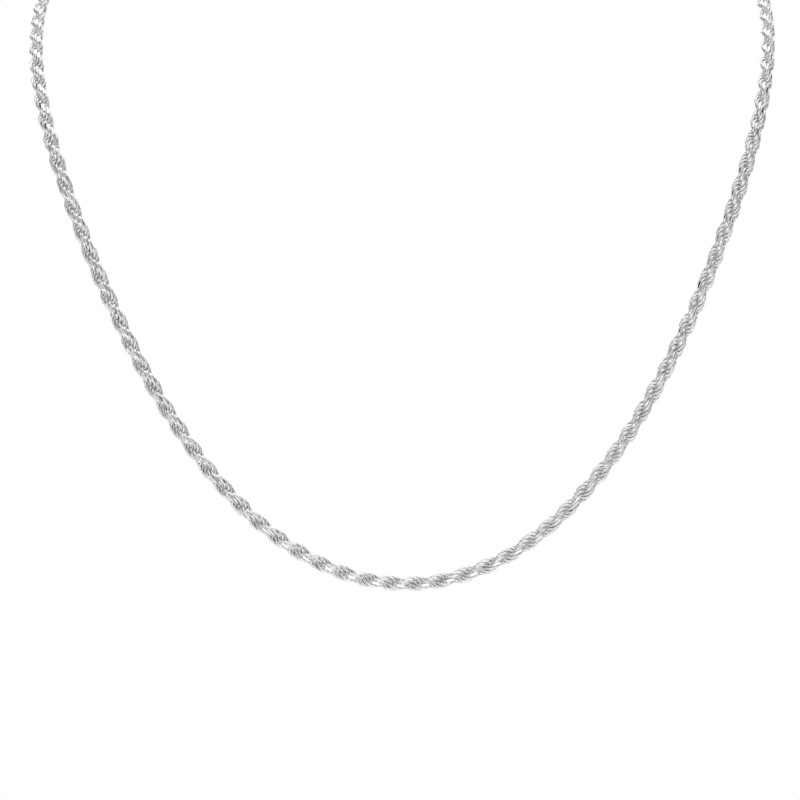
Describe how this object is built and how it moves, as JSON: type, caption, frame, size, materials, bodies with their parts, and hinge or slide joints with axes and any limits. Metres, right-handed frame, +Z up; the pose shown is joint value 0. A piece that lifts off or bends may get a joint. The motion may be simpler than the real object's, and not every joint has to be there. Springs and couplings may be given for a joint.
{
  "type": "twisted chain necklace",
  "caption": "Silver rope chain necklace: a closed loop of twisted chain that hangs round a neck, fastened at the nape by a round clasp between end caps.",
  "frame": {"origin": "middle of the fastening at the nape, where the worn necklace hangs", "axes": "+Z up, -Y towards the chest, +X to the right as seen from the front"},
  "size_m": [0.122, 0.0847, 0.1198],
  "materials": {
    "silver_rope": "polished silver wire with small flats cut across the links",
    "silver_fastening": "polished silver"
  },
  "bodies": {
    "root": {"rope_chain": "silver_rope", "cap_left": "silver_fastening", "cap_right": "silver_fastening", "clasp_link": "silver_fastening", "clasp": "silver_fastening", "end_ring": "silver_fastening"}
  },
  "joints": []
}
